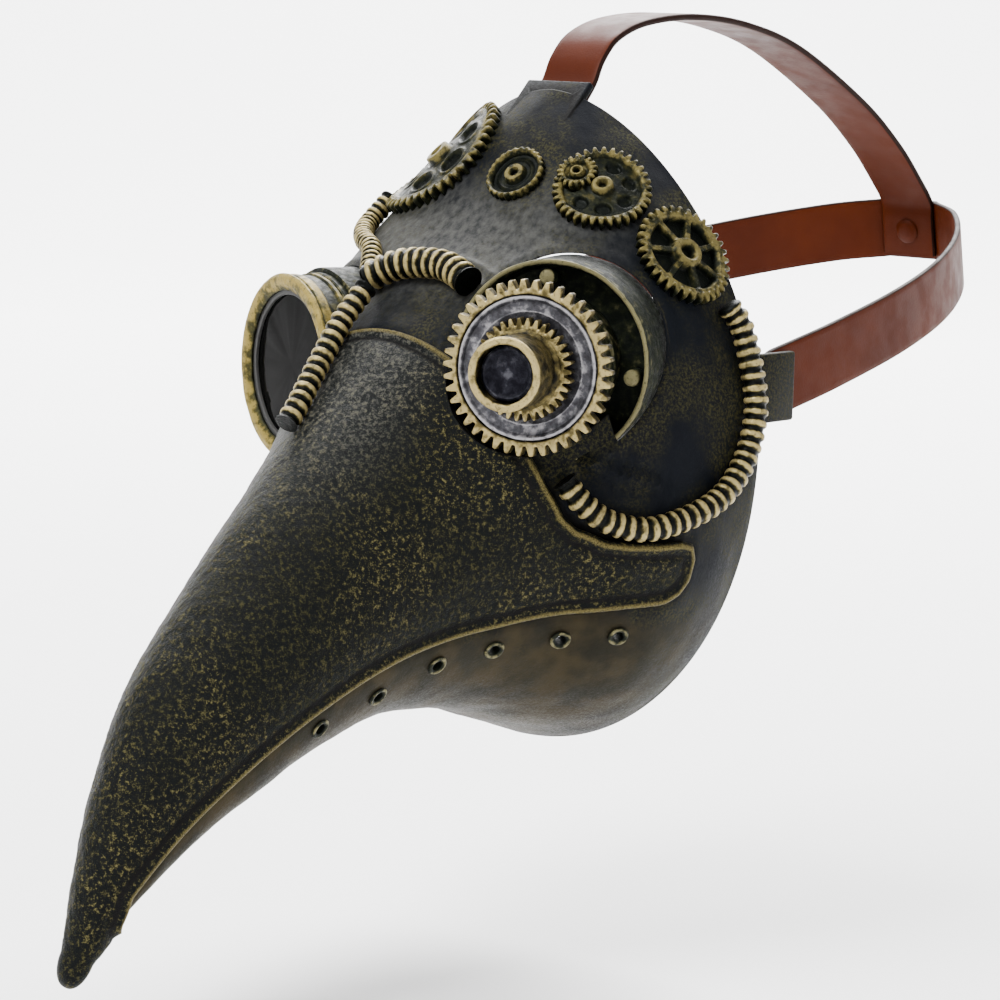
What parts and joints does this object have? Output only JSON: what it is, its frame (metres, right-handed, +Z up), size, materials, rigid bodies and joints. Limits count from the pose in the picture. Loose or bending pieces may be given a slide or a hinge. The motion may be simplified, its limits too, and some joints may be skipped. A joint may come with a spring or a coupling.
{
  "type": "plague doctor mask",
  "caption": "Hollow long-beaked plague doctor mask with a gear-stack eye, a glazed goggle, relief gears and hoses, and a pivoting leather head harness.",
  "frame": {"origin": "middle of the face opening, in the plane of its rim", "axes": "+Z up, -Y the way the mask faces, +X the wearer's left"},
  "size_m": [0.1671, 0.434, 0.2797],
  "materials": {
    "shell": "blue-black moulded skin, dry-brushed olive and silver",
    "casing": "pebbled olive-black skin with worn gold edges",
    "brass": "moulded resin painted as aged brass, worn bright on the ridges",
    "dark_brass": "moulded resin painted as blackened brass",
    "silver": "moulded resin painted as tarnished silver",
    "lens": "glossy near-black tinted lens",
    "gasket": "matt black",
    "leather": "smooth red-brown strap leather",
    "rivet": "aged brass"
  },
  "bodies": {
    "mask": {"face_shell": "shell", "beak_casing": "casing", "eye_socket_left": "dark_brass", "socket_lug_1": "dark_brass", "socket_lug_2": "dark_brass", "socket_lug_3": "dark_brass", "eye_barrel_left": "dark_brass", "main_gear": "brass", "gear_dish": "silver", "small_gear": "brass", "hub_collar": "brass", "hub_plug": "shell", "eye_socket_right": "dark_brass", "goggle_barrel": "brass", "goggle_bezel": "brass", "lens_gasket": "gasket", "goggle_lens": "lens", "lens_retainer": "dark_brass", "brow_gear_right": "dark_brass", "brow_gear_right_hub": "brass", "brow_disc": "dark_brass", "brow_disc_hub": "brass", "brow_gear_left": "dark_brass", "brow_gear_left_hub": "brass", "brow_pinion": "brass", "spoke_gear": "dark_brass", "spoke_gear_hub": "brass", "cheek_hose": "brass", "nose_hose": "brass", "brow_hose": "brass", "beak_hose": "brass", "top_strap": "leather", "band_rivet_left": "rivet", "band_rivet_right": "rivet", "strap_rivet_top": "rivet", "eyelet_left_1": "dark_brass", "eyelet_left_2": "dark_brass", "eyelet_left_3": "dark_brass", "eyelet_left_4": "dark_brass", "eyelet_left_5": "dark_brass", "eyelet_left_6": "dark_brass", "eyelet_right_1": "dark_brass", "eyelet_right_2": "dark_brass", "eyelet_right_3": "dark_brass", "eyelet_right_4": "dark_brass", "eyelet_right_5": "dark_brass", "eyelet_right_6": "dark_brass"},
    "harness": {"rear_band": "leather", "band_rivet_rear": "rivet"}
  },
  "joints": [
    {"name": "harness_pivot", "type": "hinge", "parent": "mask", "child": "harness", "pos_m": [0, 0.0175, 0.013], "axis": [1, 0, 0], "range_deg": [-20, 30], "deforming": ["top_strap"]}
  ]
}
